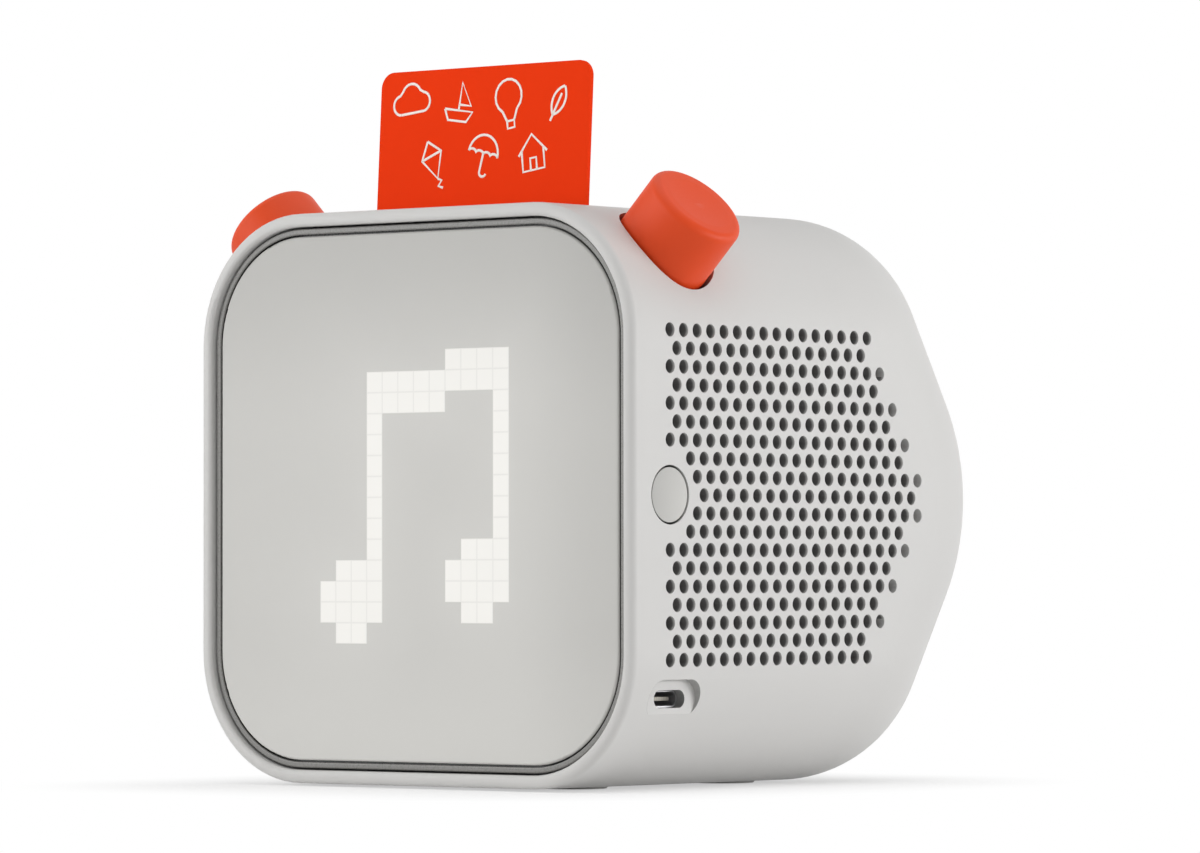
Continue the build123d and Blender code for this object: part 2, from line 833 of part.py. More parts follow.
def encoder_body(side):
    """Square can with a threaded bushing on top, open inside for the push plate."""
    base = knob_plane(side, encoder_bottom) * Rectangle(encoder_width, encoder_width)
    can = extrude(base, amount=encoder_depth)
    can += knob_rod(side, bushing_radius, pocket_underside, bushing_top)
    room = push_plate_top - push_plate_thickness - knob_travel - 0.3
    hollow = knob_rod(side, push_plate_radius + 0.4, room, pocket_underside - encoder_wall)
    bore = knob_rod(side, shaft_radius + shaft_running_gap, room, bushing_top)
    pins = Part()
    for i in (-1, 0, 1):
        outline = Pos(i * encoder_pin_pitch, encoder_width / 2 - encoder_pin_margin) * Rectangle(encoder_pin, encoder_pin)
        pins += extrude(knob_plane(side, encoder_bottom) * outline, amount=-encoder_pin_length)
    return can + pins - hollow - bore


def encoder_nuts():
    outline = RegularPolygon(nut_across_flats / 2, 6, major_radius=False) - Circle(bushing_radius)
    seats = [knob_plane(side, pocket_floor) for side in SIDES.values()]
    return group(extrude(seat * outline, amount=nut_thickness) for seat in seats)


# ---------------------------------------------------------------- power button
def power_button():
    face_x = body_half
    centre = (side_hole_y, body_z)
    flange_back = button_inner_x - button_flange_thickness
    button = rod(button_radius, (flange_back, *centre), (face_x, *centre))
    button += rod(button_radius + button_flange_extra, (flange_back, *centre), (button_inner_x, *centre))
    button += rod(button_stem_radius, (stem_end_x, *centre), (flange_back, *centre))
    button = fillet(button.faces().sort_by(Axis.X)[-1].edges(), button_edge_radius)
    dome_radius = (button_radius**2 + button_dome**2) / (2 * button_dome)
    return button & Pos(face_x - dome_radius, *centre) * Sphere(dome_radius)


def switch_plunger():
    centre = (side_hole_y, body_z)
    return rod(plunger_radius, (stem_end_x - plunger_length, *centre), (stem_end_x, *centre))


def power_switch():
    half = switch_size / 2
    block = box(
        switch_base_x, switch_top_x, side_hole_y - half, side_hole_y + half, body_z - half, body_z + half
    )
    centre = (side_hole_y, body_z)
    bottom = stem_end_x - plunger_length - button_travel - 0.2
    return block - rod(plunger_radius + plunger_gap, (bottom, *centre), (switch_top_x, *centre))


def button_board():
    half_y = button_board_size / 2 - 1.2
    half_z = button_post_spread + button_post_radius + 0.4
    return box(
        button_board_x, button_board_x + small_board_thickness,
        side_hole_y - half_y, side_hole_y + half_y, body_z - half_z, body_z + half_z,
    )


def button_spring():
    """The return spring between the switch and the button's flange."""
    start = switch_top_x + spring_wire
    length = button_inner_x - button_flange_thickness - spring_wire - start
    path = Helix(length / spring_turns, length, spring_radius - spring_wire)
    coil = sweep(Plane(origin=path @ 0, z_dir=path % 0) * Circle(spring_wire), path)
    return Plane(origin=(start, side_hole_y, body_z), z_dir=(1, 0, 0)) * coil


# ---------------------------------------------------------------- grille mesh and speakers
def grille_mesh(side):
    low = chassis_back_y + mesh_front_gap - side_hole_y
    high = hole_rows // 2 * hole_pitch_up + hole_diameter / 2 + mesh_border
    top_end = (middle_row_holes + 0.5 - hole_rows / 4) * hole_pitch_back + mesh_margin
    tip_end = (middle_row_holes + 0.5) * hole_pitch_back + mesh_margin
    corners = [(low, -high), (top_end, -high), (tip_end, 0), (top_end, high), (low, high)]
    outline = Polygon(*corners, align=None) - Circle(button_radius + button_flange_extra + mesh_button_gap)
    for up in (-1, 1):
        outline -= Pos(0, up * button_post_spread) * Circle(button_post_radius + mesh_post_gap)
    plane = side_plane(side, inner_x - mesh_thickness, side_hole_y, body_z)
    return extrude(plane * outline, amount=mesh_thickness) & body_form(wall, front_y)


def speaker_plane(side):
    """Local Z is the distance from the body's middle plane, along the speaker's axis."""
    return Plane(origin=(0, speaker_y, body_z), x_dir=(0, 1, 0), z_dir=(side, 0, 0))


def turned(side, points):
    """A ring turned about a speaker's axis from (radius, distance) points."""
    profile = Plane.XZ * Polygon(*points, align=None)
    return speaker_plane(side) * revolve(profile, Axis.Z)


def speaker_screw_points():
    return [(y * speaker_screw_y, z * speaker_screw_z) for y in (-1, 1) for z in (-1, 1)]


def speaker_frame(side):
    outline = Circle(speaker_plate_radius)
    outline += RectangleRounded(speaker_plate_width, speaker_plate_height, speaker_plate_corner)
    outline -= Circle(speaker_opening_radius)
    outline -= [Pos(*p) * Circle(small_screw_radius + screw_clearance) for p in speaker_screw_points()]
    plate = extrude(speaker_plane(side).offset(speaker_back_x) * outline, amount=speaker_plate_thickness)
    rim = speaker_opening_radius + basket_wall
    foot = basket_foot_radius
    neck = cone_neck_radius + 1.4
    floor_x = magnet_front_x + basket_wall
    basket = turned(side, [
        (rim, speaker_back_x), (foot, magnet_front_x), (neck, magnet_front_x),
        (neck, floor_x), (foot - basket_wall, floor_x), (rim - basket_wall, speaker_back_x),
    ])
    window = speaker_plane(side).offset(magnet_front_x + 2 * basket_wall)
    cuts = []
    for turn in (0, 45, 90, 135):
        slot = Rot(0, 0, turn) * Rectangle(3 * speaker_opening_radius, basket_window)
        cuts.append(extrude(window * slot, amount=speaker_back_x - magnet_front_x - 3 * basket_wall))
    return plate + (basket - cuts)


def speaker_magnet(side):
    outline = Circle(magnet_radius) - Circle(magnet_hole_radius)
    return extrude(speaker_plane(side).offset(magnet_front_x - magnet_depth) * outline, amount=magnet_depth)


def speaker_yoke(side):
    back = magnet_front_x - magnet_depth
    plate = speaker_plane(side).offset(back - yoke_thickness) * Circle(magnet_radius)
    pole = speaker_plane(side).offset(back) * Circle(pole_radius)
    return extrude(plate, amount=yoke_thickness) + extrude(pole, amount=magnet_depth)


def speaker_cone(side):
    neck_x = cone_front_x - cone_depth
    back_x = cone_front_x - cone_thickness
    cone = turned(side, [
        (cone_radius, cone_front_x), (cone_radius - cone_rim, cone_front_x), (cone_neck_radius, neck_x),
        (cone_neck_radius, neck_x - cone_thickness), (cone_radius - cone_rim, back_x), (cone_radius, back_x),
    ])
    coil = turned(side, [
        (coil_radius + coil_wall, neck_x), (coil_radius + coil_wall, neck_x - coil_length),
        (coil_radius, neck_x - coil_length), (coil_radius, neck_x),
    ])
    cap_radius = 1.2 * cone_neck_radius
    dome = speaker_plane(side).offset(neck_x + 1.0 - sqrt(cap_radius**2 - cone_neck_radius**2)) * (
        Sphere(cap_radius) - Sphere(cap_radius - cone_thickness)
    )
    keep = speaker_plane(side).offset(neck_x - 0.4) * Circle(cone_neck_radius + 1.2)
    return cone + coil + (dome & extrude(keep, amount=cone_depth))


def speaker_surround(side):
    """A half roll between the cone's edge and the frame."""
    outer = speaker_opening_radius - surround_gap
    inner = cone_radius + surround_gap
    roll = (outer - inner) / 2
    ring = Circle(roll) - Circle(roll - surround_thickness)
    lower_half = Pos(0, -roll) * Rectangle(4 * roll, 2 * roll)
    profile = Pos((inner + outer) / 2, cone_front_x + surround_thickness) * (ring & lower_half)
    level = cone_front_x + surround_thickness / 2
    for start, end in ((cone_radius - cone_rim, inner), (outer, outer + surround_gap + surround_flange)):
        profile += Pos((start + end) / 2, level) * Rectangle(end - start, surround_thickness)
    return speaker_plane(side) * revolve(Plane.XZ * profile, Axis.Z)


def speaker_gasket(side):
    outline = Circle(speaker_plate_radius) - Circle(speaker_plate_radius - gasket_ring_width)
    start = speaker_front_x + surround_thickness
    return extrude(speaker_plane(side).offset(start) * outline, amount=inner_x - mesh_thickness - start)


def speaker_screws():
    screws = []
    for side in SIDES.values():
        for y, z in speaker_screw_points():
            seat = (side * speaker_back_x, speaker_y + y, body_z + z)
            screws.append(screw(seat, (side, 0, 0), speaker_plate_thickness + speaker_screw_bite))
    return group(screws)


# ---------------------------------------------------------------- core frame, board and battery
def main_board_holes():
    x = main_board_width / 2 - main_board_screw_margin
    low = board_low_z + main_board_screw_margin
    high = board_low_z + main_board_height - main_board_screw_margin
    return [(side * x, z) for side in (-1, 1) for z in (low, high)]


def core_frame():
    half = core_width / 2
    top = inner_floor_z + core_height
    foot_y = (core_y - core_foot_front, core_y + core_foot_back)
    frame = box(-half, half, core_y, core_y + core_plate, inner_floor_z, top)
    frame += box(-half, half, *foot_y, inner_floor_z, inner_floor_z + core_plate)
    for side in (-1, 1):
        gusset_x = sorted((side * half, side * (half - core_gusset)))
        low = inner_floor_z
        frame += box(*gusset_x, core_y, core_y + core_foot_back, low, low + core_gusset_height)
    cuts = []
    for x, z in main_board_holes() + bracket_screw_places():
        front = (x, core_y - main_board_lift, z)
        frame += rod(2.2, front, (x, core_y, z))
        cuts.append(rod(small_screw_radius, front, (x, core_y + core_plate, z)))
    for x in (-base_screw_x, base_screw_x):
        for y in base_screw_rows:
            low, high = (x, y, inner_floor_z), (x, y, inner_floor_z + core_boss_height)
            frame += rod(core_boss_radius, low, high)
            cuts.append(rod(housing_screw_radius, low, high))
    return frame - cuts


def main_board():
    half = main_board_width / 2
    top = board_low_z + main_board_height
    board = box(-half, half, board_front_y, board_front_y + board_thickness, board_low_z, top)
    radius = small_screw_radius + screw_clearance
    return board - [rod(radius, (x, board_front_y, z), (x, core_y, z)) for x, z in main_board_holes()]


def board_chips():
    """Processor, memory, amplifier, charger and two connectors on the board's front."""
    edge = main_board_width / 2 - chip_margin
    flat = [
        (-edge, chip_row, processor_size, processor_size),
        (0, chip_row, memory_width, memory_height),
        (edge, chip_row, amplifier_size, amplifier_size),
        (-edge, charger_row, charger_size, charger_size),
    ]
    top_row = main_board_height - connector_margin
    tall = [(side * edge, top_row, connector_width, connector_height) for side in (-1, 1)]
    chips = []
    for places, thick in ((flat, chip_thickness), (tall, connector_thickness)):
        for x, up, width, height in places:
            block = Box(width, thick, height)
            chips.append(Pos(x, board_front_y - thick / 2, board_low_z + up) * block)
    return group(chips)


def shield_can():
    centre = Pos(shield_x, board_front_y - shield_height / 2, board_low_z + shield_up)
    return centre * Box(shield_size, shield_height, shield_size)


def board_screws():
    """Four through the main board and two, from behind, through the battery bracket."""
    seats = [((x, board_front_y, z), 1) for x, z in main_board_holes()]
    seats += [((x, core_y + core_plate + bracket_thickness, z), -1) for x, z in bracket_screw_places()]
    return group(screw(seat, (0, way, 0), board_screw_length) for seat, way in seats)


def battery_pack():
    start = core_y + core_plate + battery_gap
    plane = Plane(origin=(0, start + battery_depth / 2, battery_low_z))
    outline = RectangleRounded(battery_width, battery_depth, battery_corner)
    return extrude(plane * outline, amount=battery_height)


def battery_bracket():
    """A strap round the battery, with feet on the core frame."""
    plate_y = core_y + core_plate
    low, high = bracket_z - bracket_height / 2, bracket_z + bracket_height / 2
    inner = battery_width / 2 + battery_gap
    outer = inner + bracket_thickness
    back = battery_back_y + battery_gap
    strap = box(-outer, outer, plate_y, back + bracket_thickness, low, high)
    strap -= box(-inner, inner, plate_y, back, low, high)
    half = core_width / 2
    strap += box(-half, -inner, plate_y, plate_y + bracket_thickness, low, high)
    strap += box(inner, half, plate_y, plate_y + bracket_thickness, low, high)
    radius = small_screw_radius + screw_clearance
    return strap - [rod(radius, (x, plate_y, z), (x, 0, z)) for x, z in bracket_screw_places()]


def bracket_screw_places():
    return [(side * bracket_screw_x, bracket_z) for side in (-1, 1)]


def base_screws():
    seat_z = foot_stand + base_screw_sink
    seats = [(x, y, seat_z) for x in (-base_screw_x, base_screw_x) for y in base_screw_rows]
    return group(screw(seat, (0, 0, 1), base_screw_bite, small=False) for seat in seats)


def rubber_feet():
    feet = []
    for x, y in foot_places():
        foot = rod(foot_radius, (x, y, 0), (x, y, foot_stand + foot_inset))
        feet.append(fillet(foot.faces().sort_by(Axis.Z)[0].edges(), 0.4))
    return group(feet)


def display_ribbon():
    """Flat flex from the back of the LED board to the front of the main board."""
    half = ribbon_width / 2
    z = body_z - ribbon_drop
    front, back = led_board_back_y, board_front_y
    run = box(-half, half, front, back, z, z + ribbon_thickness)
    run += box(-half, half, front, front + ribbon_thickness, z, z + ribbon_tab)
    return run + box(-half, half, back - ribbon_thickness, back, z, z + ribbon_tab)


# ---------------------------------------------------------------- ports
def usb_c_shell():
    outer = rounded_slot(usb_width, usb_height)
    inner = rounded_slot(usb_width - 2 * usb_shell_wall, usb_height - 2 * usb_shell_wall)
    start = usb_floor_x - usb_shell_set_back - usb_depth
    shell = extrude(side_plane(1, start, port_y, port_z) * outer, amount=usb_depth)
    room = usb_depth - tongue_set_back - tongue_length
    return shell - extrude(side_plane(1, start + room, port_y, port_z) * inner, amount=usb_depth)


def usb_c_tongue():
    start = usb_floor_x - usb_shell_set_back - tongue_set_back - tongue_length
    outline = Rectangle(tongue_width, tongue_thickness)
    return extrude(side_plane(1, start, port_y, port_z) * outline, amount=tongue_length)


def port_board(side):
    x_span = sorted((side * port_board_x, side * (port_board_x - port_board_length)))
    half = port_board_width / 2
    top = port_board_z + small_board_thickness
    return box(*x_span, port_board_y - half, port_board_y + half, port_board_z, top)


def headphone_jack():
    nose = rod(jack_nose_radius, (-jack_nose_x, port_y, port_z), (-jack_body_x, port_y, port_z))
    half = jack_body_width / 2
    low = port_board_z + small_board_thickness
    inner = -jack_body_x + jack_body_length
    body = box(-jack_body_x, inner, port_y - half, port_y + half, low, port_z + jack_body_height / 2)
    bore_end = (-jack_nose_x + jack_bore_depth, port_y, port_z)
    return nose + body - rod(jack_hole_radius, (-jack_nose_x, port_y, port_z), bore_end)


# ---------------------------------------------------------------- all nodes
def all_nodes():
    nodes = {
        "main_housing": main_housing,
        "screen_trim_ring": screen_trim_ring,
        "screen_lens": screen_lens,
        "lens_gasket": lens_gasket,
        "diffuser_sheet": diffuser_sheet,
        "pixel_grid": pixel_grid,
        "pixel_leds": pixel_leds,
        "led_board": led_board,
        "display_screws": display_screws,
        "front_chassis": front_chassis,
        "chassis_screws": chassis_screws,
        "card_chute": card_chute,
        "chute_screws": chute_screws,
        "card_felts": card_felts,
        "antenna_board": antenna_board,
        "story_card": story_card,
        "power_button": power_button,
        "switch_plunger": switch_plunger,
        "power_switch": power_switch,
        "button_board": button_board,
        "button_spring": button_spring,
        "core_frame": core_frame,
        "main_board": main_board,
        "board_chips": board_chips,
        "shield_can": shield_can,
        "board_screws": board_screws,
        "battery_pack": battery_pack,
        "battery_bracket": battery_bracket,
        "base_screws": base_screws,
        "rubber_feet": rubber_feet,
        "display_ribbon": display_ribbon,
        "encoder_nuts": encoder_nuts,
        "speaker_screws": speaker_screws,
        "usb_c_shell": usb_c_shell,
        "usb_c_tongue": usb_c_tongue,
        "headphone_jack": headphone_jack,
    }
    per_side = {
        "knob_cap": knob_cap,
        "encoder_shaft": encoder_shaft,
        "encoder_push_plate": encoder_push_plate,
        "encoder_body": encoder_body,
        "grille_mesh": grille_mesh,
        "speaker_frame": speaker_frame,
        "speaker_magnet": speaker_magnet,
        "speaker_yoke": speaker_yoke,
        "speaker_cone": speaker_cone,
        "speaker_surround": speaker_surround,
        "speaker_gasket": speaker_gasket,
        "port_board": port_board,
    }
    shapes = {name: make() for name, make in nodes.items()}
    for word, side in SIDES.items():
        for name, make in per_side.items():
            shapes[f"{word}_{name}"] = make(side)
    return shapes


os.makedirs("parts", exist_ok=True)
for node, shape in all_nodes().items():
    export_step(shape, f"parts/{node}.step")
    print(node, round(shape.volume, 1))
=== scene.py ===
# %% [markdown]
# # An audio story player
# The moulded shell, screen, knobs and card slot are already solid parts. This lesson dresses
# them: it gives every part a finish, prints the card, lights the screen, and sets up a small
# photo studio with a floor, four lamps and a camera. One Blender unit is one metre.

import math

import bmesh
import bpy
from mathutils import Matrix, Vector


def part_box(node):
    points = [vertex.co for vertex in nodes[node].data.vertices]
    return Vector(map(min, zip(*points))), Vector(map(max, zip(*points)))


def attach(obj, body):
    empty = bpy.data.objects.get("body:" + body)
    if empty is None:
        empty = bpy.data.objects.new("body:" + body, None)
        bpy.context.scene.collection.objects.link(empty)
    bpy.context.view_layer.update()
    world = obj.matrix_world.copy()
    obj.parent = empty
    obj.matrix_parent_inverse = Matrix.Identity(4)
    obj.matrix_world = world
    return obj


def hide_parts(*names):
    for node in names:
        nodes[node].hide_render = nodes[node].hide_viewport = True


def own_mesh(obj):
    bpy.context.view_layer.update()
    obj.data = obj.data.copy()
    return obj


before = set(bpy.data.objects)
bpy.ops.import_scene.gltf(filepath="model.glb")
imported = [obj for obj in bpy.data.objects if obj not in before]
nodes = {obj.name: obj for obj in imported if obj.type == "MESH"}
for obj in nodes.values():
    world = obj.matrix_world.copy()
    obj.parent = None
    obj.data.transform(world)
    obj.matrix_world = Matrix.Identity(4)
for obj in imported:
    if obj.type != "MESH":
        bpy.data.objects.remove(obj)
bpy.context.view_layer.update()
scene = bpy.context.scene
MM = 0.001
BODY_MIDDLE_Z = 55.9
print("parts loaded:", len(nodes))

# %% [markdown]
# ## Writing shader maths as Python
# Node trees are quicker to read as sums. `Value` wraps the output of a node, so `a * 2 + 1`
# adds the two Math nodes, and `1 - mask` works as well. `Finish` is one material: it adds
# nodes, and it sets the numbers that are the same everywhere straight on the surface.


# %% Values that make Math nodes
class Value:
    """The output of a node, for use in Python expressions."""

    def __init__(self, finish, socket):
        self.finish = finish
        self.socket = socket

    def math(self, operation, *others):
        return self.finish.node("ShaderNodeMath", [self, *others], operation=operation)

    def __add__(self, other):
        return self.math("ADD", other)

    def __sub__(self, other):
        return self.math("SUBTRACT", other)

    def __mul__(self, other):
        return self.math("MULTIPLY", other)

    def __truediv__(self, other):
        return self.math("DIVIDE", other)

    def __rsub__(self, other):
        return self * -1.0 + other

    __radd__ = __add__
    __rmul__ = __mul__

    def __abs__(self):
        return self.math("ABSOLUTE")

    def ramp(self, low, high, start=0.0, end=1.0):
        """Runs smoothly from start to end while this value goes from low to high."""
        inputs = {"Value": self, 1: low, 2: high, 3: start, 4: end}
        return self.finish.node("ShaderNodeMapRange", inputs, interpolation_type="SMOOTHSTEP")


def nearest(values, round_over=0.0):
    """The smallest of several distances, with a soft crease where two of them meet."""
    least = values[0]
    for value in values[1:]:
        least = least.math("SMOOTH_MIN", value, round_over)
    return least


print("Value ready")


# %% One material
class Finish:
    """A material whose surface is one Principled shader."""

    def __init__(self, name, **constants):
        self.material = bpy.data.materials.new(name)
        self.material.use_nodes = True
        self.tree = self.material.node_tree
        self.surface = self.tree.nodes["Principled BSDF"]
        self.set(**constants)

    def node(self, kind, inputs=(), output=0, **settings):
        """Adds a node: its settings first, then the numbers or links of its sockets."""
        made = self.tree.nodes.new(kind)
        for key, value in settings.items():
            setattr(made, key, value)
        pairs = inputs.items() if isinstance(inputs, dict) else enumerate(inputs)
        for key, value in pairs:
            self.feed(made.inputs[key], value)
        return Value(self, made.outputs[output])

    def feed(self, socket, value):
        if isinstance(value, Value):
            self.tree.links.new(value.socket, socket)
        elif socket.type == "RGBA":
            socket.default_value = (*value, 1.0)
        else:
            socket.default_value = value

    def set(self, **sockets):
        """Feeds surface sockets by name, such as base_color or coat_weight."""
        for name, value in sockets.items():
            title = name.replace("_", " ").title().replace("Ior", "IOR")
            self.feed(self.surface.inputs[title], value)

    def place(self):
        """The point being shaded, in millimetres."""
        point = self.node("ShaderNodeTexCoord", output="Object")
        return self.node("ShaderNodeVectorMath", {0: point, "Scale": 1000.0}, operation="SCALE")

    def axes(self):
        place = self.place()
        return [self.node("ShaderNodeSeparateXYZ", [place], output=axis) for axis in "XYZ"]

    def noise(self, size, detail=2.0, stretch=(1.0, 1.0, 1.0)):
        """Cloudy noise with blobs about size millimetres across."""
        place = self.node("ShaderNodeVectorMath", [self.place(), stretch], operation="MULTIPLY")
        return self.node("ShaderNodeTexNoise", {"Vector": place, "Scale": 1.0 / size, "Detail": detail})

    def blend(self, share, low, high):
        """Mixes two colours."""
        return self.node("ShaderNodeMix", {0: share, 6: low, 7: high}, output=2, data_type="RGBA")

    def bump(self, height, depth):
        """Raises the surface by up to depth millimetres."""
        self.set(normal=self.node("ShaderNodeBump", {"Height": height, "Distance": depth * MM}))


def tone(red, green, blue):
    """A screen colour from 0 to 255 as linear light."""
    return tuple(((c / 255 + 0.055) / 1.055) ** 2.4 for c in (red, green, blue))


def darker(colour, share):
    return tuple(c * (1.0 - share) for c in colour)


def dress(material, *names):
    """Gives a material to parts by name."""
    for name in names:
        slots = nodes[name].data.materials
        slots.clear()
        slots.append(material)
    print(material.name, "on", len(names), "parts")


def both(*names):
    return [f"{side}_{name}" for side in ("left", "right") for name in names]


print("Finish ready")


# %% [markdown]
# ## Moulded plastic
# The shell, knobs, button and card holder are injection moulded. A mould has a fine spark
# grain, and the colour of the resin is never quite even. Fine noise drives the bump and the
# roughness, and broad noise shifts the colour by up to three percent. A flat colour would look
# like a toy rendering, and a photographed texture couldn't be moved to another part.
#
# Some shading is painted into the colours, in place of light and shadow that the four lamps
# don't give. It isn't the colour of the plastic, and should go if the light is changed:
# the walls of the holes and of the socket's recess are darkened, the button has a gradient,
# and the screen, its frame and the button are black below their faces, to make crisp gaps.

# %% Painted shading
BLACK = (0.004, 0.004, 0.004)
HOLES_HALF_HEIGHT = 33.2
HOLES_FRONT_Y = -56.8
HOLES_BACK_Y = 28.0
HOLES_BACK_SLANT = 0.47
BUTTON_Y = -48.65
BUTTON_BLACK_X = 54.9
BUTTON_SHOWN_X = 55.1
FRAME_BLACK_Y = -57.8
FRAME_SHOWN_Y = -58.1
PORT_Y = -45.9
PORT_Z = 17.6
RECESS_HALF_FLAT = 3.9
RECESS_RADIUS = 3.68
RECESS_FROM_X = 52.84
OPENING_X = 51.0
OPENING_HALF_DEPTH = 1.76
OPENING_HALF_HEIGHT = 1.75
HOLE_DARK_X = 54.6
HOLE_PLAIN_X = 55.2
HOLE_DARK = 0.65
RECESS_DARK = 0.38
OPENING_DARK = 0.55
BUTTON_DARK = 0.14
BUTTON_DARK_PER_MM_UP = 0.01
BUTTON_DARK_PER_MM_FORWARD = 0.026


def blackened(finish, colour, axis, black_from, shown_from):
    """Turns a colour black beyond a depth along X, Y or Z, in millimetres."""
    depth = finish.axes()["XYZ".index(axis)]
    return finish.blend(depth.ramp(black_from, shown_from), BLACK, colour)


def hole_shadow(finish, colour):
    """Darkens the walls of the holes in the flat of the sides."""
    x, y, z = finish.axes()
    up = abs(z - BODY_MIDDLE_Z)
    beside_holes = up.math("LESS_THAN", HOLES_HALF_HEIGHT) * y.math("GREATER_THAN", HOLES_FRONT_Y)
    beside_holes = beside_holes * (up * HOLES_BACK_SLANT + y).math("LESS_THAN", HOLES_BACK_Y)
    share = beside_holes * abs(x).ramp(HOLE_DARK_X, HOLE_PLAIN_X, HOLE_DARK, 0.0)
    return finish.blend(share, colour, BLACK)


def port_shadow(finish, colour):
    """Darkens the walls round the charging socket, in its recess and in the opening there."""
    x, y, z = finish.axes()
    beside = (abs(y - PORT_Y) - RECESS_HALF_FLAT).math("MAXIMUM", 0.0)
    beyond = z - PORT_Z
    inside = (beside * beside + beyond * beyond).math("LESS_THAN", RECESS_RADIUS**2)
    recess = x.math("GREATER_THAN", RECESS_FROM_X) * RECESS_DARK
    low = abs(beyond).math("LESS_THAN", OPENING_HALF_HEIGHT)
    opening = low * abs(x - OPENING_X).math("LESS_THAN", OPENING_HALF_DEPTH) * OPENING_DARK
    return finish.blend(inside * (recess + opening), colour, BLACK)


def shell_shading(finish, colour):
    return port_shadow(finish, hole_shadow(finish, colour))


def frame_gap(finish, colour):
    return blackened(finish, colour, "Y", FRAME_BLACK_Y, FRAME_SHOWN_Y)


def button_shading(finish, colour):
    """A gradient over the button, darkest at its front and top, and black below its face."""
    _, y, z = finish.axes()
    up = (z - BODY_MIDDLE_Z) * BUTTON_DARK_PER_MM_UP
    back = (y - BUTTON_Y) * BUTTON_DARK_PER_MM_FORWARD
    shaded = finish.blend(up - back + BUTTON_DARK, colour, BLACK)
    return blackened(finish, shaded, "X", BUTTON_BLACK_X, BUTTON_SHOWN_X)


print("painted shading ready")


# %% A moulded finish
def moulded(name, colour, roughness=0.45, grain=0.35, depth=0.004, shading=None, **constants):
    finish = Finish(name, **constants)
    fine = finish.noise(grain)
    shade = finish.blend(finish.noise(24.0, detail=1.0), darker(colour, 0.03), colour)
    if shading:
        shade = shading(finish, shade)
    finish.set(base_color=shade)
    finish.set(roughness=(fine - 0.5) * 0.12 + roughness)
    finish.bump(fine, depth)
    return finish.material


print("moulded finish ready")

# %% Plastic parts
SHEEN = {"specular_ior_level": 0.3}
DULL = {"specular_ior_level": 0.04}
shell = moulded("shell_plastic", tone(214, 213, 211), roughness=0.5, shading=shell_shading, **SHEEN)
dress(shell, "main_housing")
button = moulded("button_plastic", tone(202, 201, 197), roughness=0.4, shading=button_shading, **SHEEN)
dress(button, "power_button")
dress(moulded("knob_plastic", tone(232, 74, 22), roughness=0.5, depth=0.006, **SHEEN), *both("knob_cap"))
dress(moulded("card_plastic", tone(248, 60, 10), roughness=0.6, grain=0.6, **DULL), "story_card")
dress(moulded("trim_plastic", tone(127, 126, 123), roughness=0.28, shading=frame_gap), "screen_trim_ring")
dress(moulded("inner_plastic", tone(64, 64, 66)), "front_chassis", "card_chute", "core_frame")
black = moulded("black_plastic", tone(34, 34, 35), roughness=0.4)
dress(black, "switch_plunger", "power_switch", "board_chips", "headphone_jack")
dress(black, *both("encoder_push_plate", "speaker_frame"))
dress(moulded("diffuser_white", tone(232, 231, 228)), "diffuser_sheet", "pixel_grid", "pixel_leds")
dress(moulded("foot_rubber", tone(226, 225, 222), roughness=0.75, depth=0.01), "rubber_feet")
dress(moulded("battery_wrap", tone(38, 74, 132), roughness=0.3), "battery_pack")
dress(moulded("ribbon_film", tone(150, 96, 40), roughness=0.35), "display_ribbon")

# %% [markdown]
# ## Metal, foam, felt and circuit boards
# These parts are hidden in use, and show when the player is taken apart. Drawn metal has long
# fine lines, so its noise is stretched along one axis. Felt, foam and paper are dull and
# uneven. The noise that raises their fibres also darkens the low places between them, which is
# painted shade in the gaps. A board is green lacquer over copper tracks.


# %% Metal parts
def drawn_metal(name, colour, roughness=0.3, stretch=(1.0, 1.0, 12.0)):
    finish = Finish(name, metallic=1.0)
    lines = finish.noise(0.5, detail=3.0, stretch=stretch)
    finish.set(base_color=finish.blend(lines, darker(colour, 0.2), colour))
    finish.set(roughness=(lines - 0.5) * 0.25 + roughness)
    return finish.material


steel = drawn_metal("plated_steel", tone(176, 177, 180))
dress(steel, "display_screws", "chassis_screws", "chute_screws", "button_spring", "shield_can")
dress(steel, "board_screws", "base_screws", "speaker_screws", *both("encoder_body", "speaker_yoke"))
dress(drawn_metal("socket_steel", tone(190, 190, 192), roughness=0.5), "usb_c_shell")
dress(drawn_metal("turned_aluminium", tone(205, 205, 208)), "battery_bracket", *both("encoder_shaft"))
dress(drawn_metal("turned_brass", tone(196, 160, 92)), "encoder_nuts")


# %% Soft and sintered parts
def fibrous(name, colour, size=0.25, depth=0.05):
    finish = Finish(name, roughness=0.95)
    fibres = finish.noise(size, detail=6.0)
    # painted shade: darker where the fibres lie low, in the gaps between them
    finish.set(base_color=finish.blend(fibres, darker(colour, 0.45), colour))
    finish.bump(fibres, depth)
    return finish.material


dress(fibrous("magnet_ferrite", tone(70, 70, 73), size=0.12, depth=0.01), *both("speaker_magnet"))
dress(fibrous("pressed_paper", tone(58, 57, 56)), *both("speaker_cone"))
dress(fibrous("felt", tone(74, 73, 72), size=0.4, depth=0.08), "card_felts")
dress(fibrous("foam", tone(40, 40, 41), size=0.4, depth=0.04), "lens_gasket")
dress(fibrous("surround_rubber", tone(36, 36, 37), size=0.8), *both("speaker_gasket", "speaker_surround"))


# %% Circuit boards
def solder_mask(name):
    finish = Finish(name)
    bricks = {"Vector": finish.place(), "Scale": 0.45, "Mortar Size": 0.04}
    tracks = finish.node("ShaderNodeTexBrick", bricks, output="Fac")
    finish.set(base_color=finish.blend(tracks, (0.012, 0.10, 0.045), (0.03, 0.20, 0.09)))
    finish.set(roughness=tracks * 0.15 + 0.3)
    return finish.material


boards = ["led_board", "antenna_board", "button_board", "main_board", *both("port_board")]
dress(solder_mask("solder_mask"), *boards)
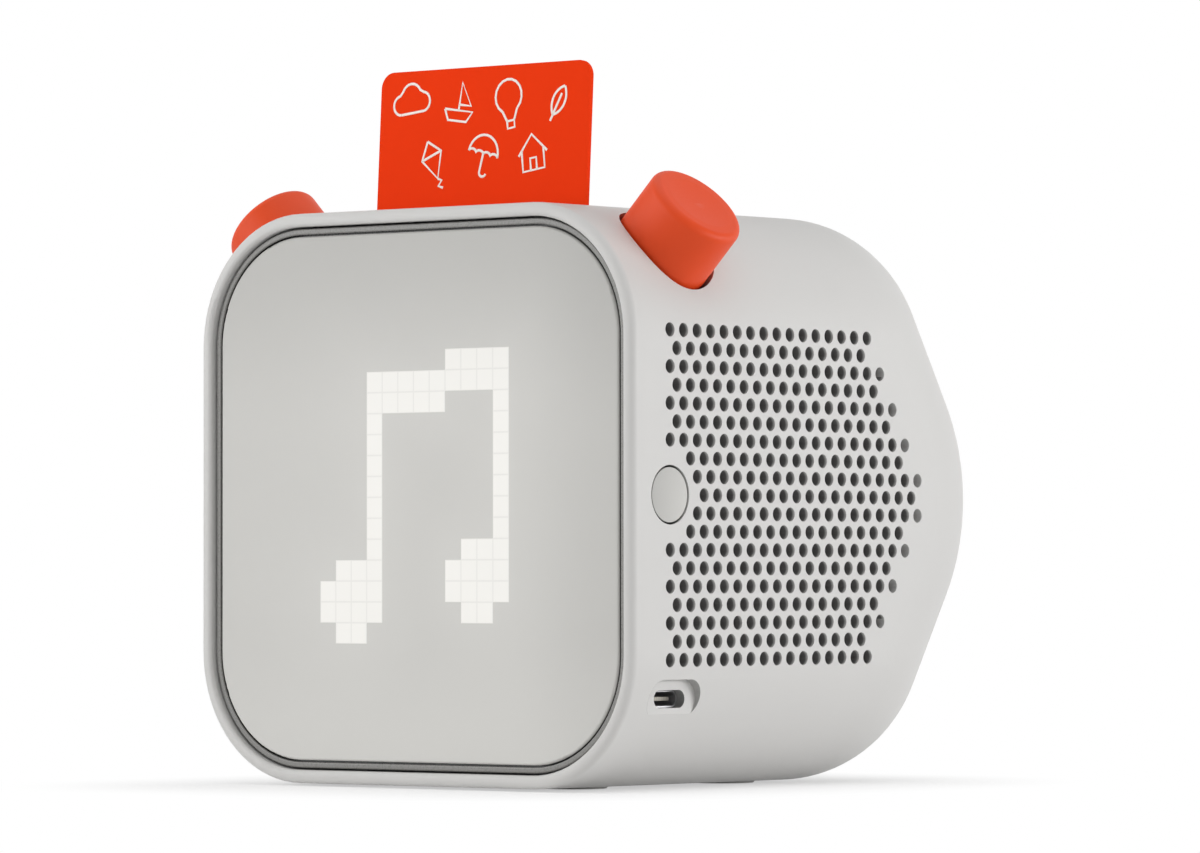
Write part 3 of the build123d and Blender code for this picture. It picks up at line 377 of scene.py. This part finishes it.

# %% [markdown]
# ## Return spring
# A spring of steel wire between the switch and the button's flange pushes the button back out.
# Its turns close up along its axis as the button goes in. A copy of it is joined to the housing
# in place of the original, which is hidden.


def return_spring():
    wire = nodes["button_spring"]
    turns = wire.data.copy()
    turns.transform(wire.matrix_world)
    spring = bpy.data.objects.new("return_spring", turns)
    scene.collection.objects.link(spring)
    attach(spring, "housing")
    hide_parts("button_spring")
    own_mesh(spring)


return_spring()

# %% [markdown]
# ## Grille cloth
# Behind the rows of holes lies a woven cloth that keeps dust off the loudspeaker. Two sine
# waves at right angles make its over-and-under weave, because the threads are far too fine
# to model.


# %% Weave
def woven(name, dark, light, pitch=0.42):
    finish = Finish(name, roughness=0.9)
    _, y, z = finish.axes()
    across = (y * (math.tau / pitch)).math("SINE")
    along = (z * (math.tau / pitch)).math("SINE")
    weave = (across * along).ramp(-0.6, 0.6)
    finish.set(base_color=finish.blend(weave, dark, light))
    finish.bump(weave, 0.06)
    return finish.material


dress(woven("grille_cloth", tone(48, 46, 45), tone(94, 91, 90)), *both("grille_mesh"))

# %% [markdown]
# ## Charging socket
# The tongue in the socket carries a row of gilded contacts. They are half a millimetre apart,
# so a sine along the tongue draws them.


# %% Contacts
def contact_tongue(name, pitch=0.5):
    finish = Finish(name, roughness=0.4)
    y = finish.axes()[1]
    stripes = (y * (math.tau / pitch)).math("SINE").ramp(0.1, 0.4)
    finish.set(base_color=finish.blend(stripes, tone(140, 139, 137), tone(172, 164, 146)))
    finish.set(metallic=stripes * 0.3)
    return finish.material


dress(contact_tongue("contact_tongue"), "usb_c_tongue")

# %% [markdown]
# ## The lit screen
# A grid of 16 by 16 lamps glows through a milky sheet, so the picture is made of square
# cells. Rounding a point down to its cell and testing only the cell's middle turns any smooth
# shape into such a picture: here two joined music notes, made of two discs and four bars. The
# light also spreads a little in the sheet, so the smooth shape itself gives a faint halo.
#
# The sheet is painted unevenly, for light on it that the lamps here don't give. It has its
# own colour at its bottom edge and is 8 percent darker over the middle, 23 at the top edge,
# and up to 8 more towards the right edge.

# %% Picture in cells
CELL = 4.03
SCREEN_MIDDLE = (-0.3, BODY_MIDDLE_Z)
NOTE_HEADS = [(-4.0, -5.0), (4.0, -4.0)]
NOTE_HEAD_RADIUS = 2.05
NOTE_BARS = [
    (-2.5, 0.5, 0.5, 5.5),
    (5.5, 1.5, 0.5, 5.5),
    (-0.5, 5.0, 2.5, 1.0),
    (4.0, 6.0, 2.0, 1.0),
]


def apart(across, up, centre):
    """Distance of a point from a centre."""
    square = (across - centre[0]).math("POWER", 2.0) + (up - centre[1]).math("POWER", 2.0)
    return square.math("SQRT")


def music_notes(across, up, round_over=0.0):
    """How far a point lies outside the picture, in cells; negative inside."""
    shapes = [apart(across, up, head) - NOTE_HEAD_RADIUS for head in NOTE_HEADS]
    for x, y, half_width, half_height in NOTE_BARS:
        beside = abs(across - x) - half_width
        beyond = abs(up - y) - half_height
        shapes.append(beside.math("SMOOTH_MAX", beyond, round_over))
    return nearest(shapes, round_over)


def milky_screen(name):
    finish = Finish(name, specular_ior_level=0.25, emission_strength=1.0)
    x, _, z = finish.axes()
    across = (x - SCREEN_MIDDLE[0]) / CELL
    up = (z - SCREEN_MIDDLE[1]) / CELL
    column = across.math("FLOOR") + 0.5
    row = up.math("FLOOR") + 0.5
    lit = music_notes(column, row).math("LESS_THAN", 0.0)
    seam = abs(across - column).math("MAXIMUM", abs(up - row)).ramp(0.44, 0.49, 1.0, 0.7)
    halo = (music_notes(across, up, 2.0).math("MAXIMUM", 0.0) * -0.22).math("EXPONENT") * 0.06
    cloud = finish.noise(30.0, detail=1.0)
    sheet = finish.blend(cloud, tone(211, 210, 206), tone(215, 214, 210))
    dim = up.ramp(3.0, 12.5, 0.0, 0.15) + up.ramp(-12.5, -6.0, 0.0, 0.08)
    dim = dim + across.ramp(6.0, 12.5, 0.0, 0.08)
    finish.set(base_color=frame_gap(finish, finish.blend(dim, sheet, BLACK)))
    finish.set(roughness=cloud * 0.06 + 0.36)
    glow = lit * seam * 0.28 + halo
    finish.set(emission_color=finish.blend(glow, (0.0, 0.0, 0.0), (1.0, 0.98, 0.94)))
    return finish.material


dress(milky_screen("milky_screen"), "screen_lens")

# %% [markdown]
# ## The card's drawings
# A story card is printed with small outline drawings. Each one is a few strokes in
# millimetres. A curve with a round bevel follows the strokes at an even width, is pressed
# almost flat like a coat of ink, and is then laid on the card's leaning face. It rides on the
# card, so it leaves the slot with it.


# %% Strokes
def arc(x, y, radius, start, end, squash=1.0, steps=14):
    """Points along an arc, with its angles in degrees."""
    angles = [math.radians(start + (end - start) * i / steps) for i in range(steps + 1)]
    return [(x + radius * math.cos(a), y + radius * squash * math.sin(a)) for a in angles]


def balloon():
    ropes = [[(side * 2.1, -1.8), (side * 1.0, -4.2)] for side in (-1, 1)]
    basket = [(-1.0, -4.2), (1.0, -4.2), (1.0, -5.8), (-1.0, -5.8), (-1.0, -4.2)]
    return [arc(0, 1.2, 3.7, -55, 235), basket, *ropes]


def kite():
    frame_line = [(0, 4.4), (2.9, 1.0), (0, -4.4), (-2.9, 1.0), (0, 4.4)]
    tail = [(0, -4.4), (0.9, -5.2), (-0.4, -6.0), (0.7, -6.9)]
    return [frame_line, [(-2.9, 1.0), (2.9, 1.0)], tail]


def cloud():
    puffs = arc(-2.6, 0, 1.9, 265, 95) + arc(0.2, 1.4, 2.5, 150, 25) + arc(3.0, 0, 1.9, 80, -85)
    return [puffs + [(-2.7, -1.9)]]


def umbrella():
    hem = []
    for i in range(4):
        hem += arc(-3.0 + 2.0 * i, 0, 1.0, 180, 0, squash=0.6, steps=6)
    return [arc(0, 0, 4.0, 0, 180), hem, [(0, 0.6), (0, -3.6)] + arc(0.9, -3.6, 0.9, 180, 350)]


def boat():
    hull = [(-3.8, -1.6), (3.8, -1.6), (2.4, -3.8), (-2.6, -3.8), (-3.8, -1.6)]
    return [hull, [(0, -1.6), (0, 4.2), (3.2, -0.4), (0, -0.4)]]


def leaf():
    edge = arc(-2.4, 0, 4.6, -52, 52)
    return [edge, [(0.8 - x, y) for x, y in edge], [(0.4, -5.2), (0.4, 1.8)]]


def house():
    walls = [(-2.9, 0.4), (-2.9, -3.8), (2.9, -3.8), (2.9, 0.4)]
    door = [(-0.8, -3.8), (-0.8, -1.3), (0.8, -1.3), (0.8, -3.8)]
    return [walls, [(-3.8, -0.4), (0, 3.6), (3.8, -0.4)], door]


print("drawings:", [draw.__name__ for draw in (balloon, kite, cloud, umbrella, boat, leaf, house)])

# %% Ink on the card
CARD_LEAN = math.radians(3.3)
CARD_THICK = 0.76 * MM
LINE_WIDTH = 0.55
INK_THICK = 0.03
CARD_PRINT = [
    (cloud, -19.0, -6.4, 6, 1.0),
    (boat, -6.3, -6.8, -8, 0.95),
    (balloon, 6.4, -7.2, 9, 0.9),
    (leaf, 18.8, -7.4, -28, 0.85),
    (kite, -12.8, -17.8, 22, 0.9),
    (umbrella, 0.2, -17.2, -14, 0.95),
    (house, 12.9, -17.2, 8, 0.95),
]


def card_drawings():
    curve = bpy.data.curves.new("card_drawings", "CURVE")
    curve.dimensions = "3D"
    curve.bevel_depth = LINE_WIDTH / 2
    curve.bevel_resolution = 1
    curve.use_fill_caps = True
    for draw, across, up, turn, size in CARD_PRINT:
        place = Matrix.Translation((across, up, 0)) @ Matrix.Rotation(math.radians(turn), 4, "Z")
        for stroke in draw():
            spline = curve.splines.new("POLY")
            spline.points.add(len(stroke) - 1)
            for point, (x, y) in zip(spline.points, stroke):
                point.co = (*(place @ Vector((x * size, y * size, 0))), 1.0)
    lines = bpy.data.objects.new("card_lines", curve)
    mesh = bpy.data.meshes.new_from_object(lines)
    low, high = (Vector(corner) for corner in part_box("story_card"))
    top = Vector(((low.x + high.x) / 2, high.y - CARD_THICK * math.cos(CARD_LEAN), high.z))
    stand = Matrix.Rotation(math.radians(90) - CARD_LEAN, 4, "X")
    press = Matrix.Diagonal((MM, MM, MM * INK_THICK / LINE_WIDTH, 1.0))
    mesh.transform(Matrix.Translation(top) @ stand @ press)
    bpy.data.objects.remove(lines)
    piece = bpy.data.objects.new("card_drawings", mesh)
    scene.collection.objects.link(piece)
    piece.data.materials.clear()
    piece.data.materials.append(moulded("card_ink", tone(250, 243, 236), roughness=0.45))
    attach(piece, "story_card")
    print("card drawings:", len(mesh.polygons), "faces")


card_drawings()

# %% [markdown]
# ## Studio floor
# The player stands on white paper, whose surface catches the contact shadow. The paper is
# mixed with plain white: by half under the middle of the player and wholly 60 mm further
# out, so the shadow shows at half its strength or less and the paper's edge can't be seen.
# Only camera, mirror and glass rays see the white, so it reaches the object in reflections
# alone.


# %% White paper
SHADOW_HALF_WIDTH = 30.0
SHADOW_HALF_DEPTH = 39.0
SHADOW_MIDDLE_Y = -19.0
FADE_LENGTH = 60.0
WHITE_UNDER_PLAYER = 0.5


def studio_floor():
    mesh = bmesh.new()
    bmesh.ops.create_grid(mesh, x_segments=1, y_segments=1, size=6.0)
    data = bpy.data.meshes.new("studio_floor")
    mesh.to_mesh(data)
    mesh.free()
    floor = bpy.data.objects.new("studio_floor", data)
    scene.collection.objects.link(floor)
    floor.data.materials.append(paper("white_paper"))
    print("floor laid")


def direct_rays(finish):
    """One for rays that the eye follows straight, in a mirror or through glass."""
    kinds = ("Is Camera Ray", "Is Glossy Ray", "Is Transmission Ray")
    straight, mirrored, through = [finish.node("ShaderNodeLightPath", output=kind) for kind in kinds]
    return (straight + mirrored + through).math("MINIMUM", 1.0)


def paper(name):
    finish = Finish(name, roughness=0.9, specular_ior_level=0.0, base_color=tone(254, 254, 254))
    x, y, _ = finish.axes()
    beside = (abs(x) - SHADOW_HALF_WIDTH).math("MAXIMUM", 0.0)
    beyond = (abs(y - SHADOW_MIDDLE_Y) - SHADOW_HALF_DEPTH).math("MAXIMUM", 0.0)
    away = apart(beside, beyond, (0.0, 0.0))
    fade = away.ramp(0.0, FADE_LENGTH, WHITE_UNDER_PLAYER, 1.0) * direct_rays(finish)
    white = finish.node("ShaderNodeEmission", {"Strength": 1.0})
    shown = finish.node("ShaderNodeMixShader", [fade, Value(finish, finish.surface.outputs[0]), white])
    finish.tree.links.new(shown.socket, finish.tree.nodes["Material Output"].inputs["Surface"])
    return finish.material


studio_floor()

# %% [markdown]
# ## Lamps
# A large soft box lights the front from the left, and a low, wide one lights the side from
# behind, so that the rounded edge between front and side falls a little darker and reads as
# round. One overhead lights the top, and a weak one above the camera and even grey light from
# all round fill the rest.


# %% Soft boxes
def softbox(name, azimuth, elevation, size, power, distance=0.9):
    """A rectangular lamp that faces the player; azimuth 0 is in front, 90 on its right."""
    data = bpy.data.lights.new(name, "AREA")
    data.shape = "RECTANGLE"
    data.size, data.size_y = size
    data.energy = power
    lamp = bpy.data.objects.new(name, data)
    side, lift = math.radians(azimuth), math.radians(elevation)
    away = Vector((math.sin(side) * math.cos(lift), -math.cos(side) * math.cos(lift), math.sin(lift)))
    turn = away.to_track_quat("Z", "Y").to_matrix().to_4x4()
    middle = Vector((0, 0, BODY_MIDDLE_Z * MM))
    lamp.matrix_world = Matrix.Translation(away * distance + middle) @ turn
    lamp.visible_camera = False
    scene.collection.objects.link(lamp)
    print(name, "at", azimuth, elevation)


softbox("left_box", -34, 5, (1.0, 1.0), 6.8)
softbox("right_box", 118, 5, (0.8, 0.2), 4.0)
softbox("top_box", 60, 80, (1.2, 1.2), 4.2)
softbox("camera_box", 40, 25, (1.0, 1.0), 0.9)


# %% Light from all round
def surround(strength):
    """Even light on the player; the camera and mirrors see plain white."""
    world = bpy.data.worlds.new("studio")
    scene.world = world
    world.use_nodes = True
    tree = world.node_tree
    back = tree.nodes["Background"]
    back.inputs["Color"].default_value = (1.0, 1.0, 1.0, 1.0)
    path = tree.nodes.new("ShaderNodeLightPath")
    shown = path.outputs["Is Camera Ray"]
    for kind in ("Is Glossy Ray", "Is Transmission Ray"):
        either = tree.nodes.new("ShaderNodeMath")
        either.operation = "MAXIMUM"
        tree.links.new(shown, either.inputs[0])
        tree.links.new(path.outputs[kind], either.inputs[1])
        shown = either.outputs[0]
    level = tree.nodes.new("ShaderNodeMapRange")
    level.inputs["To Min"].default_value = strength
    tree.links.new(shown, level.inputs["Value"])
    tree.links.new(level.outputs["Result"], back.inputs["Strength"])
    print("surround light", strength)


surround(0.14)

# %% [markdown]
# ## Camera
# A long lens from the front right, a little below the player's middle, keeps its edges nearly
# parallel. The matrix holds the camera's right, up and backward directions and its place.

# %% Camera
lens = bpy.data.cameras.new("camera")
lens.sensor_width = 36.0
lens.lens = 190.87
camera = bpy.data.objects.new("camera", lens)
scene.collection.objects.link(camera)
camera.matrix_world = Matrix(
    (
        (0.76530, 0.01595, 0.64348, 0.81182),
        (0.64368, -0.01747, -0.76510, -0.96846),
        (-0.00096, 0.99972, -0.02364, 0.04052),
        (0.0, 0.0, 0.0, 1.0),
    )
)
scene.camera = camera
scene.view_settings.view_transform = "Standard"
print("camera set")
